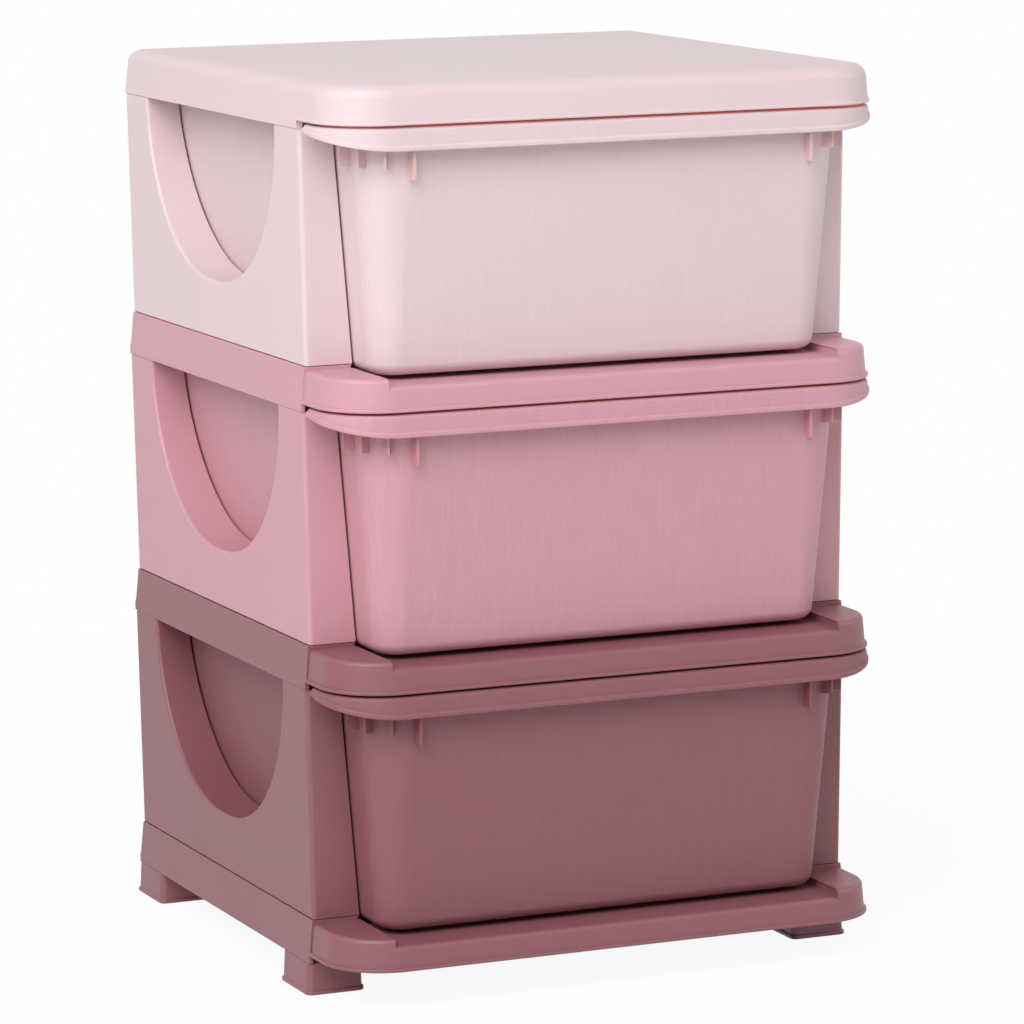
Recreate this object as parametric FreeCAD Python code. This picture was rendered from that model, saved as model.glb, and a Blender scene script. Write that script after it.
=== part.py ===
"""Three-tier drawer tower for a child's room, built up from push-together plastic mouldings.

Millimetres. +Z is up, the drawers open towards -Y and +X is to the right. The origin is on the
floor under the middle of the overall box.
"""
import FreeCAD
import Part
import math
import os

from FreeCAD import Vector

# Overall sizes
TOWER_WIDTH = 370.0          # across the lower edges of the skirts
PANEL_DEPTH = 313.0          # side panels and side skirts, front to back
LIP_REACH = 62.0             # front lips of the trays ahead of the side panels
FOOT_HEIGHT = 20.0
TIER_PITCH = 172.0           # one tray and one pair of side panels
SKIRT_HEIGHT = 27.5          # tray, from its lower edge to the seat of the panels
COVER_HEIGHT = 29.0
TIERS = ("bottom", "middle", "top")
TRAY_NAMES = ("base_tray", "lower_shelf", "upper_shelf")

# Moulding
WALL = 2.4
RIB = 1.8                    # stiffening ribs
RIB_ROWS = 2                 # under the trays and the cover
RIB_COLUMNS = 2
TRAY_ROUND_STEPS = 2         # flats that stand for a rounded edge
COVER_ROUND_STEPS = 3
FLOOR_ROUND_STEPS = 2        # round a drawer's floor, outside
INNER_ROUND_STEPS = 1        # and inside
HANDLE_ROUND_STEPS = 1
RIM_STEPS = 3                # behind the notch, in a quarter turn
HOLLOW_STEPS = 4             # inside the front corners of the lips
FIT_GAP = 0.3                # between a tab, tongue or plug and its slot or skirt
DRAFT = 2.4                  # how far a skirt leans in, from its lower edge to the panel seat
BACK_DRAFT = 0.8             # the same lean at the back
PANEL_INSET = 0.5            # panel faces behind the edges of the skirts

# Lips of the trays and of the cover
LIP_RADIUS = 40.0            # front corners in plan, at the bead
LIP_LIFT = 5.0               # lower edge of a lip above the lower edge of the side skirts
BEAD_HEIGHT = 3.2
BEAD_PROUD = 1.2
BEAD_BEVEL = 0.9
BACK_RADIUS = 4.0            # back corners in plan

# Trays
SEAT_STEP = 2.2              # panel seat above the corner blocks
CHANNEL_DEPTH = 7.0          # drawer channel below the panel seat
TRAY_EDGE_ROUND = 4.0
BACK_STOP = 7.0              # thickness of the stop at the back of the channel
TRAY_RIB_DEPTH = 10.0

# Cover
COVER_EDGE_ROUND = 11.0
COVER_BEAD_HEIGHT = 2.2
COVER_BEAD_PROUD = 0.8
COVER_BEAD_BEVEL = 0.6
COVER_RIB_DEPTH = 9.0

# Side panels
PANEL_TOP_THICKNESS = 22.0   # outer face to inner edge at the top
PANEL_FOOT_THICKNESS = 31.0  # outer face to inner edge at the foot
PANEL_ROUND = 3.0            # upright outer edges
NOTCH_HALF_WIDTH = 115.0
NOTCH_DEPTH = 107.5
NOTCH_BEVEL = 1.5            # along the notch on the outer face
PANEL_RIB_PLACES = (32.0, 116.0)   # either side of the middle of the panel
PANEL_RIB_RECESS = 5.0       # rib edges behind the panel's open inner side
TAB_LENGTH = 30.0
TAB_THICKNESS = 3.0
TAB_DEPTH = 8.0
TAB_INSET = 60.0             # middle of a tab from the panel's end
TONGUE_HEIGHT = 9.0
TONGUE_MARGIN = 7.0          # tongue ends from the panel's end and from the notch

# Drawers
DRAWER_SIDE_GAP = 2.0        # drawer side to panel edge
DRAWER_FLOOR_GAP = 2.9       # drawer floor above the channel, the height of its runners
DRAWER_BACK_GAP = 2.0        # drawer back to the stop of the tray
DRAWER_LIP_GAP = 1.8         # drawer rim below the lip above it
DRAWER_FRONT_LEAN = 14.9     # front leans out from the panel seat to the panel top
DRAWER_FRONT_RADIUS = 28.0
DRAWER_BACK_RADIUS = 20.0
DRAWER_FLOOR_ROUND = 11.0
HANDLE_OVERHANG = 10.7       # handle lip ahead of the drawer front at the rim
HANDLE_DROP = 11.2           # lower edge of the handle band below the skirt above
HANDLE_PROUD = 0.8           # handle bead ahead of the tray's bead
HANDLE_BEAD_HEIGHT = 3.3
HANDLE_BEAD_PROUD = 1.1
HANDLE_EDGE_ROUND = 2.6
HANDLE_RISE = 8.6            # degrees, climb of the band's lower edge round the corners
HANDLE_END_GAP = 9.0         # ends of the handle ahead of the side panels
GUSSET_ANGLES = (0.0, 30.0, 60.0, 90.0)   # round a front corner, from the side to the front
GUSSET_REACH = 7.5
GUSSET_DROP = 21.5           # below the skirt above
FRONT_GUSSET_DROP = 28.5     # the long one on the front face
RUNNER_WIDTH = 4.0
RUNNER_SPACING = 105.0
RUNNER_INSET = 30.0          # runner ends from the drawer's front and back

# Feet
FOOT_WIDTH = 35.5            # under the base tray
FOOT_LENGTH = 44.5
FOOT_FLARE = 0.5             # each side, from the top to the bead
FOOT_CORNER = 4.0
FOOT_BEAD_HEIGHT = 3.0
FOOT_BEAD_PROUD = 1.0
FOOT_PLUG_HEIGHT = 9.0
FOOT_PLUG_WIDTH = 25.0
FOOT_PLUG_LENGTH = 34.0
FRONT_FOOT_SETBACK = 1.0     # front feet behind the front of the side skirts

# Sizes worked out from the ones above
HALF_WIDTH = TOWER_WIDTH / 2
PANEL_HEIGHT = TIER_PITCH - SKIRT_HEIGHT
FOOT_PROUD = FOOT_FLARE + FOOT_BEAD_PROUD
PANEL_FRONT = (LIP_REACH + HANDLE_PROUD - PANEL_DEPTH - FOOT_PROUD) / 2
PANEL_BACK = PANEL_FRONT + PANEL_DEPTH
PANEL_MIDDLE = (PANEL_FRONT + PANEL_BACK) / 2
LIP_FRONT = PANEL_FRONT - LIP_REACH
COVER_BASE = FOOT_HEIGHT + TIER_PITCH * len(TIERS)
FLOOR_LEVEL = SKIRT_HEIGHT - CHANNEL_DEPTH      # channel floor above the tray's lower edge
BLOCK_LEVEL = SKIRT_HEIGHT - SEAT_STEP          # corner blocks above the tray's lower edge
CHANNEL_HALF = HALF_WIDTH - DRAFT - PANEL_INSET - PANEL_FOOT_THICKNESS
DRAWER_FLOOR = DRAWER_FLOOR_GAP - CHANNEL_DEPTH           # above the panel seat, as the next
DRAWER_RIM = PANEL_HEIGHT + LIP_LIFT - DRAWER_LIP_GAP
COLLAR_LEVEL = PANEL_HEIGHT - FRONT_GUSSET_DROP - RIB
MARGIN = 5.0                 # cutting tools run this far past what they cut


def box(x_range, y_range, z_range):
    """Block between the given limits."""
    corner = Vector(min(x_range), min(y_range), min(z_range))
    sizes = [max(r) - min(r) for r in (x_range, y_range, z_range)]
    return Part.makeBox(*sizes, corner)


def moved(shape, x=0.0, y=0.0, z=0.0):
    """Copy of a shape, shifted."""
    return shape.translated(Vector(x, y, z))


def mirrored(shape):
    """Copy of a shape, on the other side of the tower."""
    return shape.mirror(Vector(0, 0, 0), Vector(1, 0, 0))


def both_sides(shape):
    """A shape and its mirror image."""
    return [shape, mirrored(shape)]


def turn_points(centre, radius, start_angle, steps):
    """Points round a quarter turn in plan, counter-clockwise from the start angle in degrees."""
    points = []
    for step in range(steps + 1):
        angle = math.radians(start_angle + 90.0 * step / steps)
        points.append(centre + Vector(math.cos(angle), math.sin(angle), 0) * radius)
    return points


def corner_arc(centre, radius, start_angle):
    """Quarter circle in plan."""
    return Part.Arc(*turn_points(centre, radius, start_angle, 2)).toShape()


def outline(half_width, front, back, front_radius, back_radius, z, flats=0):
    """Closed plan outline, as wide on the left as on the right, with square (0) or rounded corners,
    which are arcs or a number of flats."""
    corners = [
        (half_width - front_radius, front + front_radius, front_radius, 270.0),
        (half_width - back_radius, back - back_radius, back_radius, 0.0),
        (back_radius - half_width, back - back_radius, back_radius, 90.0),
        (front_radius - half_width, front + front_radius, front_radius, 180.0),
    ]
    turns = []
    ends = []
    for x, y, radius, start_angle in corners:
        centre = Vector(x, y, z)
        if radius > 0:
            points = turn_points(centre, radius, start_angle, max(flats, 1))
            arc = corner_arc(centre, radius, start_angle)
            turns += Part.makePolygon(points).Edges if flats else [arc]
            ends.append((points[0], points[-1]))
        else:
            ends.append((centre, centre))
    lines = [Part.makeLine(this[1], following[0]) for this, following in zip(ends, ends[1:] + ends[:1])]
    return Part.Wire(Part.__sortEdges__(turns + lines))


def side_face(below, above):
    """Face between matching edges of two plan outlines."""
    start = below.firstVertex().Point
    end = below.lastVertex().Point
    if isinstance(below.Curve, Part.Line):
        corners = [start, end, above.lastVertex().Point, above.firstVertex().Point]
        return Part.Face(Part.makePolygon(corners + corners[:1]))
    rise = above.firstVertex().Point - start
    if abs(below.Curve.Radius - above.Curve.Radius) < 1e-6:
        return below.extrude(rise)
    return Part.makeLoft([Part.Wire(below), Part.Wire(above)], False, True).Faces[0]


def loft(*wires):
    """Straight-sided solid through plan outlines that match edge for edge, from the lowest up."""
    faces = [Part.Face(wires[-1]), Part.Face(wires[0])]
    for lower, upper in zip(wires, wires[1:]):
        for below, above in zip(lower.OrderedEdges, upper.OrderedEdges):
            faces.append(side_face(below, above))
    shell = Part.makeShell(faces)
    if shell.Volume < 0:
        shell.reverse()
    return Part.makeSolid(shell)


def round_levels(foot, top, radius, steps):
    """Heights and insets of a straight side that is rounded over at its top in flat steps."""
    levels = [(foot, 0.0)]
    for step in range(steps + 1):
        angle = math.pi / 2 * step / steps
        levels.append((top - radius * (1 - math.sin(angle)), radius * (1 - math.cos(angle))))
    return levels


def one_solid(shape):
    """The single solid that a moulding is, after its booleans."""
    solids = shape.removeSplitter().Solids
    if len(solids) != 1:
        raise ValueError("a moulding came apart into %d solids" % len(solids))
    return solids[0]


def lip_outline(inset, back, back_radius, z, flats=0):
    """Plan outline of a front lip, set in from the bead of the trays."""
    half_width = HALF_WIDTH - inset
    return outline(half_width, LIP_FRONT + inset, back, LIP_RADIUS - inset, back_radius, z, flats)


def skirt_lean(z):
    """How far a drafted skirt has leaned in at a height above its lower edge."""
    return DRAFT * z / SKIRT_HEIGHT


def lip_body(inset, levels, back, back_radius=0.0, flats=0):
    """Drafted block inside the lip's face, through levels of height and further inset."""
    outlines = []
    for z, step in levels:
        lean = skirt_lean(z) + step
        outlines.append(lip_outline(inset + lean, back - lean, back_radius, z, flats))
    return loft(*outlines)


def lip_hollow(levels):
    """Hollow under a tray or the cover, a wall inside the lip and the skirts."""
    return lip_body(BEAD_PROUD + WALL, levels, PANEL_BACK - WALL, flats=HOLLOW_STEPS)


def lip_plate(inset, levels):
    """Straight-sided block on the plan of a lip, through levels of height and further inset."""
    return loft(*[lip_outline(inset + step, PANEL_BACK, 0.0, z) for z, step in levels])


def across(y_range, z_range):
    """Block right across the tower, for cutting."""
    return box((-TOWER_WIDTH, TOWER_WIDTH), y_range, z_range)


def bead_ring(grow, height, bevel):
    """Bead along the lower edge of a lip, sloped on top and ending at the side skirts."""
    low = LIP_LIFT
    high = LIP_LIFT + height
    core = BEAD_PROUD + WALL / 2
    bead = lip_plate(-grow, [(low, 0.0), (high - bevel, 0.0), (high, grow + core)])
    inside = lip_plate(core, [(low - MARGIN, 0.0), (high + MARGIN, 0.0)])
    behind = across((PANEL_FRONT, PANEL_BACK + MARGIN), (low - MARGIN, high + MARGIN))
    return bead.cut([inside, behind])


def stiffening_ribs(low, high):
    """Crossing ribs under a tray or the cover, between the lip and the back."""
    front = LIP_FRONT + BEAD_PROUD + 2 * WALL
    back = PANEL_BACK - WALL / 2
    ribs = []
    for row in range(RIB_ROWS):
        y = front + (back - front) * (row + 1) / (RIB_ROWS + 1)
        ribs.append(box((-CHANNEL_HALF, CHANNEL_HALF), (y - RIB / 2, y + RIB / 2), (low, high)))
    for column in range(RIB_COLUMNS):
        x = CHANNEL_HALF * (2 * (column + 1) / (RIB_COLUMNS + 1) - 1)
        ribs.append(box((x - RIB / 2, x + RIB / 2), (front, back), (low, high)))
    return ribs


def below_edges():
    """What is cut away under a lip and under the side skirts."""
    under_lip = across((LIP_FRONT - MARGIN, PANEL_FRONT), (-2 * MARGIN, LIP_LIFT))
    under_skirt = across((LIP_FRONT - MARGIN, PANEL_BACK + MARGIN), (-2 * MARGIN, 0))
    return [under_lip, under_skirt]


def tab(grow):
    """One panel tab, or the slot for it when grown by a clearance, hanging from the panel seat."""
    middle = HALF_WIDTH - DRAFT - PANEL_INSET - PANEL_FOOT_THICKNESS / 2
    half_thickness = TAB_THICKNESS / 2 + grow
    half_length = TAB_LENGTH / 2 + grow
    x_range = (middle - half_thickness, middle + half_thickness)
    return box(x_range, (-half_length, half_length), (-TAB_DEPTH - grow, WALL))


def tabs(grow):
    """The front and back tabs of a panel on the right, or their slots."""
    return [moved(tab(grow), y=y) for y in (PANEL_FRONT + TAB_INSET, PANEL_BACK - TAB_INSET)]


def tray():
    """Shelf or base: an upside-down tray with a drawer channel, corner blocks and a lip."""
    low_levels = round_levels(-MARGIN, FLOOR_LEVEL, TRAY_EDGE_ROUND, TRAY_ROUND_STEPS)
    high_levels = round_levels(-MARGIN, BLOCK_LEVEL, TRAY_EDGE_ROUND, TRAY_ROUND_STEPS)
    low_plate = lip_body(BEAD_PROUD, low_levels, PANEL_BACK - WALL)
    blocks = lip_body(BEAD_PROUD, high_levels, PANEL_BACK - WALL)
    seat_back = PANEL_BACK - BACK_DRAFT
    skirt = loft(
        outline(HALF_WIDTH, PANEL_FRONT, PANEL_BACK, 0.0, BACK_RADIUS, 0.0),
        outline(HALF_WIDTH - DRAFT, PANEL_FRONT, seat_back, 0.0, BACK_RADIUS, SKIRT_HEIGHT),
    )
    channel = box(
        (-CHANNEL_HALF, CHANNEL_HALF), (LIP_FRONT - MARGIN, seat_back - BACK_STOP),
        (FLOOR_LEVEL, SKIRT_HEIGHT + MARGIN),
    )
    outside = low_plate.fuse([blocks.cut(channel), skirt.cut(channel)])

    floor_hollow = lip_hollow([(-MARGIN, 0.0), (FLOOR_LEVEL - WALL, 0.0)])
    side_hollow = lip_hollow([(-MARGIN, 0.0), (BLOCK_LEVEL - WALL, 0.0)])
    wall_half = CHANNEL_HALF + WALL
    between_walls = box((-wall_half, wall_half), (LIP_FRONT, PANEL_BACK), (-MARGIN, SKIRT_HEIGHT))
    side_hollow = side_hollow.cut(between_walls)
    shell = outside.cut([floor_hollow, side_hollow] + below_edges())

    ribs = stiffening_ribs(FLOOR_LEVEL - WALL - TRAY_RIB_DEPTH, FLOOR_LEVEL - WALL / 2)
    bead = bead_ring(0.0, BEAD_HEIGHT, BEAD_BEVEL)
    slots = []
    for slot in tabs(FIT_GAP):
        slots += both_sides(moved(slot, z=SKIRT_HEIGHT))
    return one_solid(shell.fuse(ribs + [bead]).cut(slots))


def cover():
    """Flat cover with a well-rounded upper edge, hollow and ribbed underneath."""
    levels = round_levels(-MARGIN, COVER_HEIGHT, COVER_EDGE_ROUND, COVER_ROUND_STEPS)
    outside = lip_body(0.0, levels, PANEL_BACK, BACK_RADIUS)
    ceiling = COVER_HEIGHT - WALL
    bevel = COVER_EDGE_ROUND - WALL
    hollow = lip_hollow([(-MARGIN, 0.0), (ceiling - bevel, 0.0), (ceiling, bevel)])
    shell = outside.cut([hollow] + below_edges())
    ribs = stiffening_ribs(ceiling - COVER_RIB_DEPTH, ceiling + WALL / 2)
    ribs = [rib.common(outside) for rib in ribs]
    bead = bead_ring(COVER_BEAD_PROUD - skirt_lean(LIP_LIFT), COVER_BEAD_HEIGHT, COVER_BEAD_BEVEL)
    return one_solid(shell.fuse(ribs + [bead]))


def panel_outer(z):
    """Outer face of a side panel, leaning out towards its top."""
    return HALF_WIDTH - PANEL_INSET - DRAFT * (1 - z / PANEL_HEIGHT)


def panel_inner(z):
    """Open inner side of a panel, which follows the taper of the drawer."""
    foot = CHANNEL_HALF
    top = HALF_WIDTH - PANEL_INSET - PANEL_TOP_THICKNESS
    return foot + (top - foot) * z / PANEL_HEIGHT


def panel_back(z):
    """Back flange of a panel, leaning out towards its top."""
    return PANEL_BACK - PANEL_INSET - BACK_DRAFT * (1 - z / PANEL_HEIGHT)


def panel_section(z, inset, recess):
    """Level section of the right panel, with rounded outer corners."""
    inner = panel_inner(z) + recess
    outer = panel_outer(z) - inset
    front = PANEL_FRONT + inset
    back = panel_back(z) - inset
    front_arc = corner_arc(Vector(outer - PANEL_ROUND, front + PANEL_ROUND, z), PANEL_ROUND, 270.0)
    back_arc = corner_arc(Vector(outer - PANEL_ROUND, back - PANEL_ROUND, z), PANEL_ROUND, 0.0)
    corners = [
        back_arc.Vertexes[-1].Point,
        Vector(inner, back, z),
        Vector(inner, front, z),
        front_arc.Vertexes[0].Point,
    ]
    side = Part.makeLine(front_arc.Vertexes[-1].Point, back_arc.Vertexes[0].Point)
    open_side = [Part.makeLine(a, b) for a, b in zip(corners, corners[1:])]
    return Part.Wire(Part.__sortEdges__([front_arc, side, back_arc] + open_side))


def pocket_section(z):
    """Level section of the hollow that opens to the panel's inner side."""
    inner = panel_inner(z) - MARGIN
    outer = panel_outer(z) - WALL
    front = PANEL_FRONT + WALL
    back = panel_back(z) - WALL
    places = [(inner, front), (outer, front), (outer, back), (inner, back), (inner, front)]
    return Part.makePolygon([Vector(x, y, z) for x, y in places])


def upright_block(corners_and_arcs):
    """Block right through a panel, square to its leaning outer face, from edges drawn upright."""
    face = Part.Face(Part.Wire(Part.__sortEdges__(corners_and_arcs)))
    lean = math.degrees(math.atan(DRAFT / PANEL_HEIGHT))
    hinge = Vector(panel_outer(PANEL_HEIGHT), 0, PANEL_HEIGHT)
    return face.extrude(Vector(TOWER_WIDTH, 0, 0)).rotated(hinge, Vector(0, 1, 0), lean)


def on_panel(y, z):
    """Point for drawing on a panel, measured along it from its middle."""
    return Vector(0, PANEL_MIDDLE + y, z)


def notch():
    """The U-shaped opening through a panel."""
    radius = min(NOTCH_HALF_WIDTH, NOTCH_DEPTH)
    reach = NOTCH_HALF_WIDTH - radius
    low = PANEL_HEIGHT - NOTCH_DEPTH
    top = PANEL_HEIGHT + TONGUE_HEIGHT + MARGIN
    edges = [Part.makeLine(on_panel(-NOTCH_HALF_WIDTH, top), on_panel(NOTCH_HALF_WIDTH, top))]
    for side in (-1, 1):
        start = on_panel(side * NOTCH_HALF_WIDTH, low + radius)
        middle = on_panel(side * (reach + radius * math.sqrt(0.5)), low + radius * (1 - math.sqrt(0.5)))
        edges.append(Part.makeLine(on_panel(side * NOTCH_HALF_WIDTH, top), start))
        edges.append(Part.Arc(start, middle, on_panel(side * reach, low)).toShape())
    if reach > 0:
        edges.append(Part.makeLine(on_panel(-reach, low), on_panel(reach, low)))
    return upright_block(edges)


def rim():
    """Outside of the wall round the notch, in flats that keep at least the wall's thickness."""
    radius = min(NOTCH_HALF_WIDTH, NOTCH_DEPTH) + WALL
    reach = NOTCH_HALF_WIDTH + WALL - radius
    centre = PANEL_HEIGHT - NOTCH_DEPTH - WALL + radius
    half_turn = math.pi / 4 / RIM_STEPS
    top = PANEL_HEIGHT + MARGIN
    right = [on_panel(NOTCH_HALF_WIDTH + WALL, top)]
    left = [on_panel(-NOTCH_HALF_WIDTH - WALL, top)]
    for flat in range(RIM_STEPS):
        angle = half_turn * (2 * flat + 1)
        y = reach + radius / math.cos(half_turn) * math.cos(angle)
        z = centre - radius / math.cos(half_turn) * math.sin(angle)
        right.append(on_panel(y, z))
        left.append(on_panel(-y, z))
    corners = right + left[::-1]
    return upright_block(Part.makePolygon(corners + corners[:1]).Edges)


def on_notch_edge(edge):
    """Test for the curved edges where the notch meets the panel's outer face."""
    middle = edge.CenterOfMass
    outside = abs(middle.x - panel_outer(middle.z)) < PANEL_INSET
    return outside and abs(middle.y - PANEL_MIDDLE) < NOTCH_HALF_WIDTH + NOTCH_BEVEL and middle.z > WALL


def side_panel():
    """Right side panel: a thin moulding, open inwards, with a rimmed notch, ribs, tabs and tongues."""
    body = loft(panel_section(0.0, 0.0, 0.0), panel_section(PANEL_HEIGHT, 0.0, 0.0))
    pocket = loft(pocket_section(WALL), pocket_section(PANEL_HEIGHT - WALL))
    panel = body.cut(pocket).fuse(rim().common(body))

    rib_ends = (WALL / 2, PANEL_HEIGHT - WALL / 2)
    core = loft(*[panel_section(z, WALL / 2, PANEL_RIB_RECESS) for z in rib_ends])
    ribs = []
    for place in PANEL_RIB_PLACES:
        for y in (PANEL_MIDDLE - place, PANEL_MIDDLE + place):
            slab = box((0, HALF_WIDTH), (y - RIB / 2, y + RIB / 2), (0, PANEL_HEIGHT))
            ribs.append(slab.common(core))
    panel = panel.fuse(ribs).cut(notch())
    panel = panel.removeSplitter()
    panel = panel.makeChamfer(NOTCH_BEVEL, [edge for edge in panel.Edges if on_notch_edge(edge)])

    tongue_outer = HALF_WIDTH - BEAD_PROUD - WALL - skirt_lean(TONGUE_HEIGHT) - FIT_GAP
    tongue_x = (tongue_outer - WALL, tongue_outer)
    tongue_z = (PANEL_HEIGHT - WALL, PANEL_HEIGHT + TONGUE_HEIGHT)
    notch_front = PANEL_MIDDLE - NOTCH_HALF_WIDTH
    notch_back = PANEL_MIDDLE + NOTCH_HALF_WIDTH
    front_tongue = box(tongue_x, (PANEL_FRONT + TONGUE_MARGIN, notch_front - TONGUE_MARGIN), tongue_z)
    back_tongue = box(tongue_x, (notch_back + TONGUE_MARGIN, PANEL_BACK - TONGUE_MARGIN), tongue_z)
    return one_solid(panel.fuse(tabs(0.0) + [front_tongue, back_tongue]))


def between(foot, top, z):
    """Value at a height that runs evenly from the panel seat to the panel top."""
    return foot + (top - foot) * z / PANEL_HEIGHT


def drawer_half(z):
    """Half the drawer's width, a running gap inside the panels."""
    return panel_inner(z) - DRAWER_SIDE_GAP


def collar_widening(z):
    """How much a drawer has widened on each side above the lower edge of its collar."""
    return max(drawer_half(z) - drawer_half(COLLAR_LEVEL), 0.0)


def drawer_front(z):
    """Front face of the drawer, leaning out to the collar and then evenly with the sides."""
    foot = LIP_FRONT + HANDLE_OVERHANG + DRAWER_FRONT_LEAN
    collar = LIP_FRONT + HANDLE_OVERHANG + collar_widening(PANEL_HEIGHT)
    return foot + (collar - foot) * min(z / COLLAR_LEVEL, 1.0) - collar_widening(z)


def drawer_back(z):
    """Back face of the drawer, clear of the tray's stop below and of the skirt above."""
    clear = PANEL_BACK - BACK_DRAFT - DRAWER_BACK_GAP
    return between(clear - BACK_STOP, clear - WALL, z)


def drawer_section(z, inset, thickness):
    """Level section of the drawer's outside, or of its inside when set in by the wall's thickness."""
    front_radius = DRAWER_FRONT_RADIUS + collar_widening(z) - thickness
    inset += thickness
    return outline(
        drawer_half(z) - inset, drawer_front(z) + inset, drawer_back(z) - inset,
        front_radius, DRAWER_BACK_RADIUS - thickness, z,
    )


def under_band(rise):
    """Everything below the handle band's lower edge, raised by some height: level along the front,
    and climbing round both corners."""
    low = PANEL_HEIGHT - HANDLE_DROP + rise
    size = 2 * TOWER_WIDTH
    slab = box((-size, size), (-size, size), (-TOWER_WIDTH, 0))
    slope = slab.rotated(Vector(0, 0, 0), Vector(1, -1, 0), HANDLE_RISE)
    corner = moved(slope, HALF_WIDTH - LIP_RADIUS, LIP_FRONT, low)
    return [moved(slab, z=low)] + both_sides(corner)


def handle():
    """Handle along the drawer's front rim: a flange turned down into a beaded band."""
    bead_face = -HANDLE_PROUD
    band_face = bead_face + HANDLE_BEAD_PROUD
    low = PANEL_HEIGHT - HANDLE_DROP - MARGIN
    band = lip_plate(band_face, round_levels(low, DRAWER_RIM, HANDLE_EDGE_ROUND, HANDLE_ROUND_STEPS))
    bead = lip_plate(bead_face, [(low, 0.0), (DRAWER_RIM - HANDLE_EDGE_ROUND, 0.0)])
    bead_zone = under_band(HANDLE_BEAD_HEIGHT)
    bead = bead.common(bead_zone[0].fuse(bead_zone[1:]))
    inside = lip_plate(band_face + WALL, [(low - MARGIN, 0.0), (DRAWER_RIM - WALL, 0.0)])
    end = PANEL_FRONT - HANDLE_END_GAP
    behind = across((end, PANEL_BACK + MARGIN), (low - MARGIN, DRAWER_RIM + MARGIN))
    return band.fuse(bead).cut([inside, behind] + under_band(0.0))


def gussets():
    """Upright ribs under the handle, fanned round the right front corner."""
    centre_x = drawer_half(COLLAR_LEVEL) - DRAWER_FRONT_RADIUS
    centre_y = drawer_front(COLLAR_LEVEL) + DRAWER_FRONT_RADIUS
    blades = []
    for angle in GUSSET_ANGLES:
        drop = FRONT_GUSSET_DROP if angle == GUSSET_ANGLES[-1] else GUSSET_DROP
        low = PANEL_HEIGHT - drop
        wall = DRAWER_FRONT_RADIUS + collar_widening(low)
        reach = (wall - WALL / 2, wall + GUSSET_REACH)
        blade = box(reach, (-RIB / 2, RIB / 2), (low, DRAWER_RIM - WALL / 2))
        blade = blade.rotated(Vector(0, 0, 0), Vector(0, 0, 1), -angle)
        blades.append(moved(blade, centre_x, centre_y))
    return blades


def runners():
    """Ribs under the drawer's floor that slide in the channel."""
    y_range = (drawer_front(0.0) + RUNNER_INSET, drawer_back(0.0) - RUNNER_INSET)
    z_range = (-CHANNEL_DEPTH, DRAWER_FLOOR + WALL / 2)
    places = (-RUNNER_SPACING, 0.0, RUNNER_SPACING)
    return [box((x - RUNNER_WIDTH / 2, x + RUNNER_WIDTH / 2), y_range, z_range) for x in places]


def tub(thickness, floor, top, radius, steps):
    """Solid of the drawer's outside or inside, rounded at the floor in flat steps."""
    levels = [(floor + top - z, step) for z, step in round_levels(floor, top, radius, steps)]
    levels.insert(1, (COLLAR_LEVEL, 0.0))
    return loft(*[drawer_section(z, step, thickness) for z, step in reversed(levels)])


def drawer():
    """Tapered tub with rounded corners, a handle with gussets, and runners underneath."""
    outside = tub(0.0, DRAWER_FLOOR, DRAWER_RIM, DRAWER_FLOOR_ROUND, FLOOR_ROUND_STEPS)
    inner_round = DRAWER_FLOOR_ROUND - WALL
    inside = tub(WALL, DRAWER_FLOOR + WALL, DRAWER_RIM + MARGIN, inner_round, INNER_ROUND_STEPS)
    fins = gussets()
    fins += [mirrored(fin) for fin in fins]
    return one_solid(outside.fuse([handle()] + fins + runners()).cut(inside))


def foot():
    """Foot under the right end of the base, on its own middle in plan, with its plug on top."""
    half_width = FOOT_WIDTH / 2
    half_length = FOOT_LENGTH / 2

    def section(grow, z, radius=FOOT_CORNER):
        return outline(half_width + grow, -half_length - grow, half_length + grow, radius, radius, z)

    levels = [(FOOT_PROUD, 0.0), (FOOT_FLARE, FOOT_BEAD_HEIGHT), (0.0, FOOT_HEIGHT)]
    body = loft(*[section(grow, z) for grow, z in levels])
    ceiling = FOOT_HEIGHT - WALL
    hollow = loft(section(-WALL, -MARGIN, 0.0), section(-WALL, ceiling, 0.0))
    rib_z = (0, ceiling + WALL / 2)
    ribs = [
        box((-half_width + WALL / 2, half_width - WALL / 2), (-RIB / 2, RIB / 2), rib_z),
        box((-RIB / 2, RIB / 2), (-half_length + WALL / 2, half_length - WALL / 2), rib_z),
    ]
    plug_outer = half_width - BEAD_PROUD - WALL - skirt_lean(FOOT_PLUG_HEIGHT) - FIT_GAP
    plug_inner = plug_outer - FOOT_PLUG_WIDTH
    plug_y = (-FOOT_PLUG_LENGTH / 2, FOOT_PLUG_LENGTH / 2)
    plug_z = (FOOT_HEIGHT, FOOT_HEIGHT + FOOT_PLUG_HEIGHT)
    well_x = (plug_inner + WALL, plug_outer - WALL)
    well_y = (plug_y[0] + WALL, plug_y[1] - WALL)
    plug = box((plug_inner, plug_outer), plug_y, plug_z).cut(box(well_x, well_y, plug_z))
    return one_solid(body.cut(hollow).fuse(ribs + [plug]))


def tier_base(tier):
    """Height of a tray's lower edge."""
    return FOOT_HEIGHT + TIER_PITCH * tier


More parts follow.
